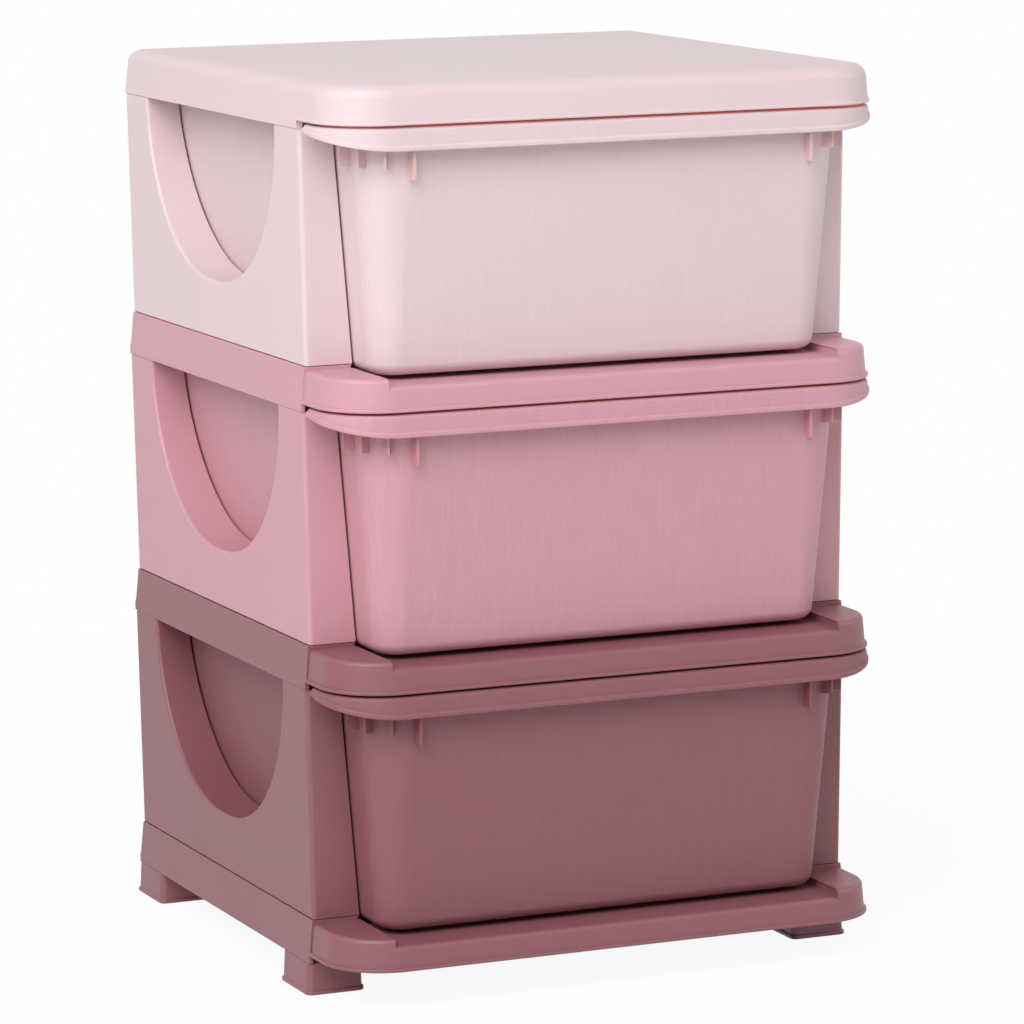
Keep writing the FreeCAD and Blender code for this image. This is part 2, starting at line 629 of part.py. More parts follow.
def mouldings():
    """Every piece of the tower, by name."""
    pieces = {"top_cover": moved(cover(), z=COVER_BASE)}
    shelf = tray()
    panel = side_panel()
    tub = drawer()
    for tier, name in enumerate(TIERS):
        seat = tier_base(tier) + SKIRT_HEIGHT
        pieces[TRAY_NAMES[tier]] = moved(shelf, z=tier_base(tier))
        pieces["side_panel_%s_right" % name] = moved(panel, z=seat)
        pieces["side_panel_%s_left" % name] = mirrored(moved(panel, z=seat))
        pieces["drawer_%s" % name] = moved(tub, z=seat)
    stand = foot()
    foot_middle = HALF_WIDTH - FOOT_WIDTH / 2
    places = {
        "front": PANEL_FRONT + FRONT_FOOT_SETBACK + FOOT_LENGTH / 2,
        "back": PANEL_BACK - FOOT_LENGTH / 2,
    }
    for name, y in places.items():
        placed = moved(stand, x=foot_middle, y=y)
        pieces["foot_%s_right" % name] = placed
        pieces["foot_%s_left" % name] = mirrored(placed)
    return pieces


def main():
    """Builds every moulding and writes one file for each."""
    os.makedirs("parts", exist_ok=True)
    for name, shape in mouldings().items():
        shape.exportStep("parts/%s.step" % name)


main()
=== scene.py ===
"""Three-tier drawer tower for a child's room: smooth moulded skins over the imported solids.

Metres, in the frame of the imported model: +Z is up, the drawers open towards -Y, +X is to the right.
"""
import math

import bmesh
import bpy
from mathutils import Matrix, Vector


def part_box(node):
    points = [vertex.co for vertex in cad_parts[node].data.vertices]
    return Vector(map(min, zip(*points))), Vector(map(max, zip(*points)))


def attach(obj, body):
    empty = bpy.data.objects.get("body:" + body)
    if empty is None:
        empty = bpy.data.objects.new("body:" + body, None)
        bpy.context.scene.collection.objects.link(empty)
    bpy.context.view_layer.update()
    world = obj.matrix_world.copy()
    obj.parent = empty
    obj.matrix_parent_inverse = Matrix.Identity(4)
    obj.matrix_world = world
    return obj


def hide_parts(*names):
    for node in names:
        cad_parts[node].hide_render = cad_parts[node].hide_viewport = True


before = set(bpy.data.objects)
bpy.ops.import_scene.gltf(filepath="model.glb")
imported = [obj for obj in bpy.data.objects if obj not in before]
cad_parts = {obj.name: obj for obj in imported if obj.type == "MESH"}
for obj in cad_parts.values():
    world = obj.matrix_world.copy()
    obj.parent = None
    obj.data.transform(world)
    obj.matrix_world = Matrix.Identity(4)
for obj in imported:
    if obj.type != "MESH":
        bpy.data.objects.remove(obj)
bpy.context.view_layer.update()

bl_info = {
    "name": "Drawer Tower",
    "version": (1, 0, 0),
    "blender": (4, 5, 0),
    "location": "3D View > Sidebar > Tower",
    "description": "Skins, plastics and studio for a three-tier drawer tower",
    "category": "Object",
}

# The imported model
MM = 0.001
TRAY_LOW, TRAY_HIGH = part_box("base_tray")
COVER_LOW, COVER_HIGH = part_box("top_cover")
HALF_WIDTH = TRAY_HIGH[0]
LIP_FRONT = TRAY_LOW[1]
BACK = TRAY_HIGH[1]
SKIRT_HEIGHT = TRAY_HIGH[2] - TRAY_LOW[2]
COVER_BASE = COVER_LOW[2]
COVER_HEIGHT = COVER_HIGH[2] - COVER_BASE
PANEL_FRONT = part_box("side_panel_top_right")[0][1]
PANEL_MIDDLE = (PANEL_FRONT + BACK) / 2
TIERS = ("bottom", "middle", "top")
TRAYS = ("base_tray", "lower_shelf", "upper_shelf")
TRAY_TIERS = ("bottom", "bottom", "middle")
BASES = [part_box(tray)[0][2] for tray in TRAYS]
PANEL_HEIGHT = BASES[1] - BASES[0] - SKIRT_HEIGHT
FEET = ["foot_%s_%s" % (end, side) for end in ("front", "back") for side in ("left", "right")]

# Meshes
SHARP = math.radians(38)     # faces that turn more than this meet in a crisp edge
MERGE = 1e-6                 # points nearer than this become one
LEVEL = 0.01 * MM            # heights nearer than this are the same
FRONT_STEPS, CORNER_STEPS, NOTCH_STEPS, HANDLE_STEPS = 4, 14, 30, 24
GUSSETS = 4                  # at each front corner of a drawer

# Beads, from the lower edge: how far in from the crest and how far up, as shares of the bead's height
TRAY_BEAD = ((0.25, 0.0), (0.08, 0.07), (0.0, 0.25), (0.0, 0.62), (0.1, 0.85))
COVER_BEAD = ((0.3, 0.0), (0.1, 0.1), (0.0, 0.3), (0.0, 0.65), (0.15, 0.9))
# Bead of a handle, from above: how far in as a share of what it stands out, and how far up
HANDLE_BEAD = ((0.3, 0.95), (0.0, 0.72), (0.0, 0.3), (0.25, 0.08))
HANDLE_EDGE = (0.3, 0.6, 0.9, 1.2, 1.5)      # angles round the upper edge of a handle
# Lower edge of a skirt: how far in and how far up
TRAY_HEM = ((0.4 * MM, 0.0), (0.1 * MM, 0.15 * MM), (0.0, 0.5 * MM))
COVER_HEM = ((0.5 * MM, 0.0), (0.1 * MM, 0.2 * MM), (0.0, 0.6 * MM))

# Plastics: grains to the metre along X, Y and Z, and depths and strengths of bumps
SPARKS, FLOW = (1500, 1500, 1500), (14, 14, 22)
SWAY, GRAIN_LINES, GRAIN_FIBRES = (9, 9, 16), (380, 380, 6), (900, 900, 40)
GRAIN_BUMP, SINK_BUMP, SPARK_BUMP = (0.12 * MM, 0.8), (0.06 * MM, 1.0), (0.03 * MM, 0.6)
SINK_WIDTH = 5.0 * MM
PALE_GRAIN = 0.55            # the grain shows less in the pale plastic
# Painted glow, a redder tint in the colour that stands in for light through the plastic: its share in trays
# and cover, in panels and in gussets, and its tint
TRAY_GLOW, PANEL_GLOW, GUSSET_GLOW = 0.6, 0.5, 0.3
THROUGH = (1.05, 0.6, 0.5)

# Studio
WHITE = (1.0, 1.0, 1.0, 1.0)
FLOOR_GREY, FLOOR_REACH = (0.88, 0.88, 0.88, 1.0), 12.0
LAMPS = (("key", -60.0, 35.0), ("front", -30.0, 40.0), ("fill", 70.0, 20.0))     # azimuth and elevation
LAMP_SIZE, LAMP_DISTANCE, LAMP_AIM = 2.4, 4.0, Vector((0.0, 0.0, 0.3))
STRIP_FRONT, STRIP_CORNER, STRIP_HEIGHT, STRIP_COLOUR = 0.29, 0.034, 0.01, (1.0, 0.2, 0.1)


def number(name, description, default, **options):
    """A number that a user may change."""
    return bpy.props.FloatProperty(name=name, description=description, default=default, **options)


def length(name, description, millimetres):
    """A size, kept in metres."""
    return number(name, description, millimetres * MM, unit="LENGTH", precision=5)


def colour(name, description, *rgb):
    """A colour that a user may change."""
    return bpy.props.FloatVectorProperty(
        name=name, description=description, default=rgb, subtype="COLOR", size=3, min=0.0, max=1.0)


def share(name, description, value):
    """A part of a whole."""
    return number(name, description, value, min=0.0, max=1.0, subtype="FACTOR")


def power(name, description, watts):
    """Power of a lamp."""
    return number(name, description, watts, min=0.0, unit="POWER")


def group(kind):
    """A group of such values."""
    return bpy.props.PointerProperty(type=kind)


class TowerMoulding(bpy.types.PropertyGroup):
    """Sizes that several mouldings share."""
    wall: length("Wall", "Thickness of the mouldings", 2.4)
    rib: length("Rib", "Thickness of ribs and gussets", 1.8)
    draft: length("Draft", "How far a skirt leans in, from its lower edge to the panel seat", 2.4)
    back_draft: length("Back draft", "The same lean at the back", 0.8)
    lip_radius: length("Lip radius", "Front corners of the lips in plan", 40.0)
    lip_lift: length("Lip lift", "Lower edge of a lip above the side skirts", 5.0)
    back_radius: length("Back radius", "Back corners in plan", 2.0)
    seam: length("Seam round", "Small round along the edges where mouldings meet", 0.7)


class TowerTray(bpy.types.PropertyGroup):
    """Sizes of the shelves and of the base."""
    bead_height: length("Bead height", "Bead along the lower edge of the lip", 2.6)
    bead_proud: length("Bead", "How far the bead stands out", 0.9)
    seat_step: length("Seat step", "Panel seat above the corner blocks", 2.2)
    channel_depth: length("Channel", "Drawer channel below the panel seat", 7.0)
    channel_half: length("Channel half width", "Half of the drawer channel's width", 151.1)
    edge_round: length("Edge round", "Upper edge of the lip", 3.0)
    block_round: length("Block round", "Edges of the corner blocks along the channel", 1.2)
    back_stop: length("Back stop", "Thickness of the stop at the back of the channel", 7.0)
    rib_depth: length("Rib depth", "Stiffening ribs under the floor", 10.0)


class TowerCover(bpy.types.PropertyGroup):
    """Sizes of the cover."""
    edge_round: length("Edge round", "Upper edge", 8.0)
    bead_height: length("Bead height", "Bead along the lower edge of the lip", 2.2)
    bead_proud: length("Bead", "How far the bead stands out", 0.8)
    rib_depth: length("Rib depth", "Stiffening ribs under the top", 9.0)


class TowerPanel(bpy.types.PropertyGroup):
    """Sizes of the side panels."""
    inset: length("Inset", "Panel faces behind the edges of the skirts", 0.5)
    top_thickness: length("Top thickness", "Outer face to inner edge at the top", 22.0)
    edge_round: length("Edge round", "Upright outer edges", 3.0)
    notch_half: length("Notch half width", "Half of the notch's width at its top", 115.0)
    notch_depth: length("Notch depth", "Depth of the notch", 107.5)
    notch_round: length("Notch round", "Edge of the notch on the outer face", 2.0)
    rib_near: length("Near ribs", "Inner ribs either side of the middle", 32.0)
    rib_far: length("Far ribs", "Outer ribs either side of the middle", 116.0)
    rib_recess: length("Rib recess", "Rib edges behind the open inner side", 5.0)
    foot_seam: length("Foot seam", "Open line between a panel's foot and its seat", 0.5)


class TowerDrawer(bpy.types.PropertyGroup):
    """Sizes of the drawers."""
    side_gap: length("Side gap", "Drawer side to panel edge", 1.4)
    floor_gap: length("Floor gap", "Drawer floor above the channel", 2.9)
    back_gap: length("Back gap", "Drawer back to the stop of the tray", 2.0)
    lip_gap: length("Lip gap", "Drawer rim below the lip above it", 1.4)
    front_lean: length("Front lean", "How far the front leans out up to the panel top", 14.9)
    front_radius: length("Front radius", "Front corners in plan at the collar", 26.5)
    back_radius: length("Back radius", "Back corners in plan", 20.0)
    floor_round: length("Floor round", "Edge of the floor", 7.0)
    overhang: length("Overhang", "Handle ahead of the drawer front at the rim", 10.7)
    drop: length("Drop", "Lower edge of the handle below the skirt above", 11.2)
    proud: length("Proud", "Handle bead ahead of the tray's bead", 0.8)
    bead_height: length("Bead height", "Bead along the handle's lower edge", 3.3)
    bead_proud: length("Bead", "How far the handle's bead stands out", 1.1)
    edge_round: length("Edge round", "Upper edge of the handle", 2.6)
    end_gap: length("End gap", "Ends of the handle ahead of the side panels", 9.0)
    rise: number("Rise", "Climb of the handle's lower edge round the corners", math.radians(9.3),
                 subtype="ANGLE")
    rise_start: length("Rise start", "How far round the corner the climb starts", 8.0)
    rise_blend: length("Rise blend", "Softness of the start of the climb", 15.0)
    collar: length("Collar", "Height above the seat where the upper collar starts", 114.2)
    gusset_reach: length("Gusset reach", "How far the gussets stand out", 7.5)
    gusset_drop: length("Gusset drop", "Lower ends of the gussets below the skirt above", 21.5)
    front_drop: length("Front gusset drop", "Lower end of the gusset on the front", 28.5)
    runner_width: length("Runner width", "Ribs that slide in the channel", 4.0)
    runner_spacing: length("Runner spacing", "Outer runners from the middle", 105.0)
    runner_inset: length("Runner inset", "Runner ends from the drawer's front and back", 30.0)


class TowerFoot(bpy.types.PropertyGroup):
    """Sizes of the feet."""
    flare: length("Flare", "Each side, from the top to the bead", 0.5)
    corner: length("Corner", "Upright corners in plan", 4.0)
    bead_height: length("Bead height", "Bead along the lower edge", 3.0)
    bead_proud: length("Bead", "How far the bead stands out", 1.0)
    height: length("Height", "Foot below the base tray", 20.0)


class TowerPlastics(bpy.types.PropertyGroup):
    """Colours and finish of the plastics."""
    bottom: colour("Bottom tier", "Dusty mauve plastic", 0.24, 0.085, 0.105)
    middle: colour("Middle tier", "Pink plastic", 0.565, 0.29, 0.345)
    top: colour("Top tier", "Pale pink plastic", 0.7, 0.555, 0.58)
    roughness: share("Roughness", "Satin of the smooth mouldings", 0.45)
    drawer_roughness: share("Drawer roughness", "Satin of the embossed drawers", 0.58)


class TowerStage(bpy.types.PropertyGroup):
    """Camera and light."""
    lens: number("Lens", "Focal length", 181.56 * MM, unit="CAMERA")
    sky: share("Sky", "Strength of the even light all round", 0.34)
    key: power("Key", "Power of the soft lamp to the left", 84.0)
    front: power("Front", "Power of the soft lamp ahead", 64.0)
    fill: power("Fill", "Power of the soft lamp to the right", 28.0)
    glow: power("Glow", "Power of the light that comes through the plastic behind a lip", 0.038)


class TowerSettings(bpy.types.PropertyGroup):
    """Everything that a user may change on the tower."""
    moulding: group(TowerMoulding)
    tray: group(TowerTray)
    cover: group(TowerCover)
    panel: group(TowerPanel)
    drawer: group(TowerDrawer)
    foot: group(TowerFoot)
    plastics: group(TowerPlastics)
    stage: group(TowerStage)


def settings():
    """The tower's settings on the scene."""
    return bpy.context.scene.drawer_tower


def turn(steps, start=0.0, sweep=90.0):
    """Cosines and sines of a turn in even steps, from a start angle in degrees."""
    angles = [math.radians(start + sweep * step / steps) for step in range(steps + 1)]
    return [(math.cos(angle), math.sin(angle)) for angle in angles]


def rounded(radius, steps=8):
    """Setback and drop of a round from a face (setback 0) to the face square to it (drop 0)."""
    return [(radius * (1 - c), radius * (1 - s)) for c, s in turn(steps)]


class Skins:
    """Gathers the skins of one moulding and makes its mesh."""

    def __init__(self, points=(), faces=(), glow=()):
        self.points, self.faces, self.glow = list(points), list(faces), list(glow)

    def loft(self, rings, glow=None):
        """Walls between closed rings of points that match one for one, and flat end faces. Glow is the share
        of painted
        glow at each ring: a redder tint in the colour that stands in for light coming through the plastic."""
        first, count = len(self.points), len(rings[0])
        last = first + (len(rings) - 1) * count
        for ring, through in zip(rings, glow or [0.0] * len(rings)):
            self.points.extend(ring)
            self.glow.extend([through] * count)
        for low in range(first, last, count):
            for step in range(count):
                after = (step + 1) % count
                self.faces.append((low + step, low + after, low + count + after, low + count + step))
        self.faces.append(tuple(range(first, first + count))[::-1])
        self.faces.append(tuple(range(last, last + count)))

    def block(self, low, high):
        """Plain bar between two corners, for ribs and runners."""
        plan = [(low[0], low[1]), (high[0], low[1]), (high[0], high[1]), (low[0], high[1])]
        self.loft([[(x, y, z) for x, y in plan] for z in (low[2], high[2])])

    def mirrored(self):
        """The same skins on the other side of the tower."""
        return Skins([(-x, y, z) for x, y, z in self.points], [face[::-1] for face in self.faces], self.glow)

    def raised(self, height):
        """The same skins, higher up."""
        return Skins([(x, y, z + height) for x, y, z in self.points], self.faces, self.glow)

    def mesh(self, name):
        """Mesh with no doubled points."""
        mesh = bpy.data.meshes.new(name)
        mesh.from_pydata(self.points, [], self.faces)
        attribute = mesh.attributes.new("glow", "FLOAT", "POINT")
        attribute.data.foreach_set("value", self.glow)
        shape = bmesh.new()
        shape.from_mesh(mesh)
        bmesh.ops.remove_doubles(shape, verts=shape.verts, dist=MERGE)
        bmesh.ops.dissolve_degenerate(shape, edges=shape.edges, dist=MERGE)
        finish_mesh(shape, mesh)
        return mesh


def finish_mesh(shape, mesh):
    """Writes a shape to a mesh, with outward faces, and crisp edges only where they turn sharply."""
    bmesh.ops.recalc_face_normals(shape, faces=shape.faces)
    shape.to_mesh(mesh)
    shape.free()
    mesh.shade_smooth()
    mesh.set_sharp_from_angle(angle=SHARP)


def plain_mesh(holder):
    """Gives an object its evaluated mesh, and takes its modifiers off."""
    graph = bpy.context.evaluated_depsgraph_get()
    mesh = bpy.data.meshes.new_from_object(holder.evaluated_get(graph), depsgraph=graph)
    mesh.name = holder.name
    holder.modifiers.clear()
    holder.data = mesh


def place(name, mesh, tier, face, body, nodes):
    """A finished piece of a tier's plastic, which stands for CAD nodes and rides on their body."""
    piece = bpy.data.objects.new(name, mesh)
    bpy.context.scene.collection.objects.link(piece)
    mesh.materials.clear()
    mesh.materials.append(plastic(tier, face))
    even = piece.modifiers.new("Even shading", "WEIGHTED_NORMAL")
    even.keep_sharp = True
    plain_mesh(piece)
    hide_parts(*nodes)
    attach(piece, body)


# Nodes

def feed(tree, node, inputs):
    """Links or fills in a node's inputs, by name or number."""
    for label, value in inputs.items():
        if isinstance(value, bpy.types.NodeSocket):
            tree.links.new(value, node.inputs[label])
        else:
            node.inputs[label].default_value = value


def add_node(tree, kind, inputs, **options):
    """New node with its options set and its inputs fed."""
    node = tree.nodes.new(kind)
    for option, value in options.items():
        setattr(node, option, value)
    feed(tree, node, inputs)
    return node


def math_node(tree, operation, *values):
    """Output of a math node with numbers or links as its inputs."""
    return add_node(tree, "ShaderNodeMath", dict(enumerate(values)), operation=operation).outputs[0]


def node_group(kind, name, inputs, outputs):
    """Empty group with named sockets, and the nodes at its two ends."""
    tree = bpy.data.node_groups.new(name, kind)
    for in_out, sockets in (("INPUT", inputs), ("OUTPUT", outputs)):
        for label, socket in sockets.items():
            tree.interface.new_socket(label, in_out=in_out, socket_type="NodeSocket" + socket)
    return tree, tree.nodes.new("NodeGroupInput"), tree.nodes.new("NodeGroupOutput")


def built(builder):
    """The group that a function builds, made once and named after it."""
    name = builder.__name__.replace("_", " ").capitalize()
    return bpy.data.node_groups.get(name) or builder(name)


# Plastics

def stretched_noise(tree, vector, scale, detail, roughness=0.5):
    """Noise whose grains are as many to the metre as the scale says, along each axis."""
    stretch = add_node(tree, "ShaderNodeMapping", {"Vector": vector, "Scale": scale})
    noise = add_node(tree, "ShaderNodeTexNoise", {
        "Vector": stretch.outputs["Vector"], "Scale": 1.0, "Detail": detail, "Roughness": roughness})
    return noise.outputs["Fac"]


def satin_texture(name):
    """Fine spark-eroded texture of the mouldings, with faint flow marks."""
    tree, start, end = node_group(
        "ShaderNodeTree", name, {"Vector": "Vector", "Roughness": "Float"},
        {"Height": "Float", "Roughness": "Float", "Shade": "Float"})
    rougher, shadier = 0.12, 0.05
    sparks = stretched_noise(tree, start.outputs["Vector"], SPARKS, 2.0)
    flow = stretched_noise(tree, start.outputs["Vector"], FLOW, 3.0)
    uneven = math_node(tree, "MULTIPLY_ADD", flow, rougher, -rougher / 2)
    feed(tree, end, {
        "Height": sparks,
        "Roughness": math_node(tree, "ADD", start.outputs["Roughness"], uneven),
        "Shade": math_node(tree, "MULTIPLY_ADD", flow, shadier, 1 - shadier / 2)})
    return tree


def wood_emboss(name):
    """Upright wood grain embossed in the drawers."""
    tree, start, end = node_group(
        "ShaderNodeTree", name, {"Vector": "Vector", "Depth": "Float"}, {"Height": "Float", "Shade": "Float"})
    line_share, fibre_share, bright, shadier = 0.7, 0.3, 0.7, 0.05
    place_on, depth = start.outputs["Vector"], start.outputs["Depth"]
    sway = stretched_noise(tree, place_on, SWAY, 2.0)
    swayed = add_node(tree, "ShaderNodeVectorMath", {0: sway, 1: (0.012, 0.012, 0.0), 2: place_on},
                      operation="MULTIPLY_ADD").outputs[0]
    lines = stretched_noise(tree, swayed, GRAIN_LINES, 3.0, 0.6)
    fibres = stretched_noise(tree, swayed, GRAIN_FIBRES, 2.0)
    grain = math_node(tree, "ADD", math_node(tree, "MULTIPLY", lines, line_share),
                      math_node(tree, "MULTIPLY", fibres, fibre_share))
    ridges = add_node(tree, "ShaderNodeMapRange", {"Value": grain, "From Min": 0.36, "From Max": 0.62})
    cut = ridges.outputs[0]
    darker = math_node(tree, "MULTIPLY", math_node(tree, "SUBTRACT", cut, bright), depth)
    feed(tree, end, {
        "Height": math_node(tree, "MULTIPLY", cut, depth),
        "Shade": math_node(tree, "MULTIPLY_ADD", darker, shadier, 1.0)})
    return tree


def sink_marks(name):
    """Faint hollows down the face of a side panel, in front of its ribs."""
    tree, start, end = node_group(
        "ShaderNodeTree", name,
        {"Vector": "Vector", "Middle": "Float", "Near": "Float", "Far": "Float", "Width": "Float"},
        {"Height": "Float"})

    def apart(one, other):
        return math_node(tree, "ABSOLUTE", math_node(tree, "SUBTRACT", one, other))

    split = add_node(tree, "ShaderNodeSeparateXYZ", {0: start.outputs["Vector"]})
    along = apart(split.outputs["Y"], start.outputs["Middle"])
    nearest = math_node(tree, "MINIMUM", *[apart(along, start.outputs[rib]) for rib in ("Near", "Far")])
    away = math_node(tree, "DIVIDE", nearest, start.outputs["Width"])
    hollow = add_node(tree, "ShaderNodeMapRange", {"Value": away}, interpolation_type="SMOOTHSTEP")
    feed(tree, end, {"Height": hollow.outputs[0]})
    return tree


def glowing_tint(name):
    """Colour of a plastic with painted glow: warmer and redder where light comes through it, painted into the
    colour by the glow attribute.
    """
    tree, start, end = node_group(
        "ShaderNodeTree", name, {"Colour": "Color", "Through": "Color", "Shade": "Float"},
        {"Colour": "Color"})
    mask = add_node(tree, "ShaderNodeAttribute", {}, attribute_name="glow")
    mix = add_node(tree, "ShaderNodeMix", {
        "Factor": mask.outputs["Fac"], "A": start.outputs["Colour"], "B": start.outputs["Through"]},
        data_type="RGBA")
    shade = add_node(tree, "ShaderNodeVectorMath", {
        0: mix.outputs["Result"], "Scale": start.outputs["Shade"]}, operation="SCALE")
    feed(tree, end, {"Colour": shade.outputs[0]})
    return tree


def bump_node(tree, height, depth, strength, under=None):
    """Bump of some depth from a height, over another one."""
    bump = add_node(tree, "ShaderNodeBump", {"Strength": strength, "Distance": depth, "Height": height})
    if under:
        feed(tree, bump, {"Normal": under})
    return bump.outputs["Normal"]


def plastic(tier, face):
    """Plastic of one tier: smooth, with the sink marks of a panel, or embossed with the drawers' wood
    grain."""
    name = "%s %s plastic" % (tier, face)
    if name in bpy.data.materials:
        return bpy.data.materials[name]
    finish, panel = settings().plastics, settings().panel
    base = getattr(finish, tier)
    roughness = finish.drawer_roughness if face == "embossed" else finish.roughness
    material = bpy.data.materials.new(name)
    material.use_nodes = True
    material.diffuse_color = (*base, 1.0)
    tree = material.node_tree
    place_on = tree.nodes.new("ShaderNodeTexCoord").outputs["Object"]

    def effect(builder, **inputs):
        return add_node(tree, "ShaderNodeGroup", inputs, node_tree=built(builder))

    satin = effect(satin_texture, Vector=place_on, Roughness=roughness)
    shade, normal = satin.outputs["Shade"], None
    if face == "embossed":
        wood = effect(wood_emboss, Vector=place_on, Depth=PALE_GRAIN if tier == "top" else 1.0)
        shade = math_node(tree, "MULTIPLY", shade, wood.outputs["Shade"])
        normal = bump_node(tree, wood.outputs["Height"], *GRAIN_BUMP)
    if face == "panel":
        marks = effect(sink_marks, Vector=place_on, Middle=PANEL_MIDDLE, Near=panel.rib_near,
                       Far=panel.rib_far, Width=SINK_WIDTH)
        normal = bump_node(tree, marks.outputs["Height"], *SINK_BUMP)
    # Painted glow: the colour turns redder where the glow attribute marks light coming through the plastic.
    through = [value * part for value, part in zip(base, THROUGH)]
    tint = effect(glowing_tint, Colour=(*base, 1.0), Through=(*through, 1.0), Shade=shade)
    feed(tree, tree.nodes["Principled BSDF"], {
        "Base Color": tint.outputs["Colour"], "Roughness": satin.outputs["Roughness"], "IOR": 1.55,
        "Normal": bump_node(tree, satin.outputs["Height"], *SPARK_BUMP, normal)})
    return material


# Forms

def lean(z):
    """How far a drafted skirt has leaned in at a height above its lower edge."""
    return settings().moulding.draft * z / SKIRT_HEIGHT


def corner_points(centre, radius, start, steps):
    """Points round a quarter turn in plan."""
    return [(centre[0] + radius * c, centre[1] + radius * s) for c, s in turn(steps, start)]


def lip_ring(front_zone, block_zone, skirt_zone, channel=None):
    """Closed ring round a tray or the cover, in three zones that may differ in inset and height: the front
    of the lip, its corners, and the skirts with the back. A skirt zone has one inset at the sides and one at
    the back. Points come in pairs where zones meet. With a channel, corners meet the front at its side."""
    moulding = settings().moulding
    centre = (HALF_WIDTH - moulding.lip_radius, LIP_FRONT + moulding.lip_radius)
    split = channel - centre[0] if channel else 0.0
    half = []
    for inset, z in (front_zone, block_zone):
        radius = moulding.lip_radius - inset
        meet = math.degrees(math.asin(split / radius)) if split else 0.0
        arc = turn(CORNER_STEPS, 270.0 + meet, 90.0 - meet) if half else turn(FRONT_STEPS, 270.0, meet)
        half += [(centre[0] + radius * c, centre[1] + radius * s, z) for c, s in arc]
    half.append((HALF_WIDTH - inset, PANEL_FRONT, z))
    side_inset, back_inset, z = skirt_zone
    half.append((HALF_WIDTH - side_inset, PANEL_FRONT, z))
    corner = moulding.back_radius
    turned = corner_points((HALF_WIDTH - side_inset - corner, BACK - back_inset - corner), corner, 0.0, 6)
    half += [(x, y, z) for x, y in turned]
    return half + [(-x, y, z) for x, y, z in reversed(half)]


def rib_grid(skins, front, back, ceiling, depth):
    """Two ribs across and two along, under a tray or the cover."""
    half, thick = settings().tray.channel_half, settings().moulding.rib / 2
    low, high = ceiling - depth, ceiling + settings().moulding.wall / 2
    for along in (1 / 3, 2 / 3):
        y = front + (BACK - front) * along
        skins.block((-half, y - thick, low), (half, y + thick, high))
        x = half * (2 * along - 1)
        skins.block((x - thick, front, low), (x + thick, back, high))


def tray_skins():
    """Shelf or base: an upside-down tray with a drawer channel, corner blocks, panel seats and a beaded
    lip."""
    moulding, shape = settings().moulding, settings().tray
    wall, lift, draft = moulding.wall, moulding.lip_lift, moulding.back_draft
    floor, block, seat = SKIRT_HEIGHT - shape.channel_depth, SKIRT_HEIGHT - shape.seat_step, SKIRT_HEIGHT
    proud, high, channel = shape.bead_proud, shape.bead_height, shape.channel_half
    inner, ceiling = proud + wall, floor - wall
    inside = [(inner + lean(ceiling), ceiling, (wall + lean(ceiling), wall, ceiling)),
              (inner, lift, (wall, wall, 0.0))]
    skirt = [(inset, inset, z) for inset, z in TRAY_HEM]
    skirt += [(0.0, 0.0, lift), (lean(lift + high), 0.1 * MM, lift + high)]
    bead = [(inward * high, lift + up * high, zone) for (inward, up), zone in zip(TRAY_BEAD, skirt)]
    over = [(proud + lean(lift + high) - 0.1 * MM, lift + high,
             (lean(lift + 2 * high), 0.2 * MM, lift + 2 * high)),
            (proud + lean(lift + 1.2 * high), lift + 1.2 * high,
             (lean(lift + 3 * high), 0.3 * MM, lift + 3 * high))]
    rings = [lip_ring((inset, z), (inset, z), zone, channel) for inset, z, zone in inside + bead + over]
    rounds = zip(rounded(shape.edge_round), rounded(moulding.seam))
    for (setback, drop), (skirt_setback, skirt_drop) in rounds:
        low_z, block_z, skirt_z = floor - drop, block - drop, seat - skirt_drop
        rings.append(lip_ring(
            (proud + lean(low_z) + setback, low_z), (proud + lean(block_z) + setback, block_z),
            (lean(skirt_z) + skirt_setback, draft + skirt_setback, skirt_z), channel))

    edge, flat = shape.block_round, 1.0 * MM
    top = rings[-1]
    lip_end = top[FRONT_STEPS][1]
    stop = BACK - draft - shape.back_stop
    for setback, drop in [(edge + flat, 0.0)] + [(edge - s, d) for d, s in rounded(edge, 4)]:
        ring = []
        for x, y, z in top:
            side = math.copysign(1.0, x)
            if z < floor + LEVEL:
                ring.append((x, y, z))
            elif z < block + LEVEL:
                ring.append((side * (channel + setback), max(y, lip_end), block - drop))
            else:
                ring.append((side * min(abs(x), channel + setback), min(y, stop + setback), seat - drop))
        rings.append(ring)
    rings.append([(x, y, floor) for x, y, z in rings[-1]])
    skins = Skins()
    # The underside gets painted glow, a redder tint that stands in for light through the plastic.
    skins.loft(rings, [TRAY_GLOW] * len(inside) + [0.0] * (len(rings) - len(inside)))
    rib_grid(skins, LIP_FRONT + proud + 2 * wall, BACK - wall / 2, ceiling, shape.rib_depth)
    return skins


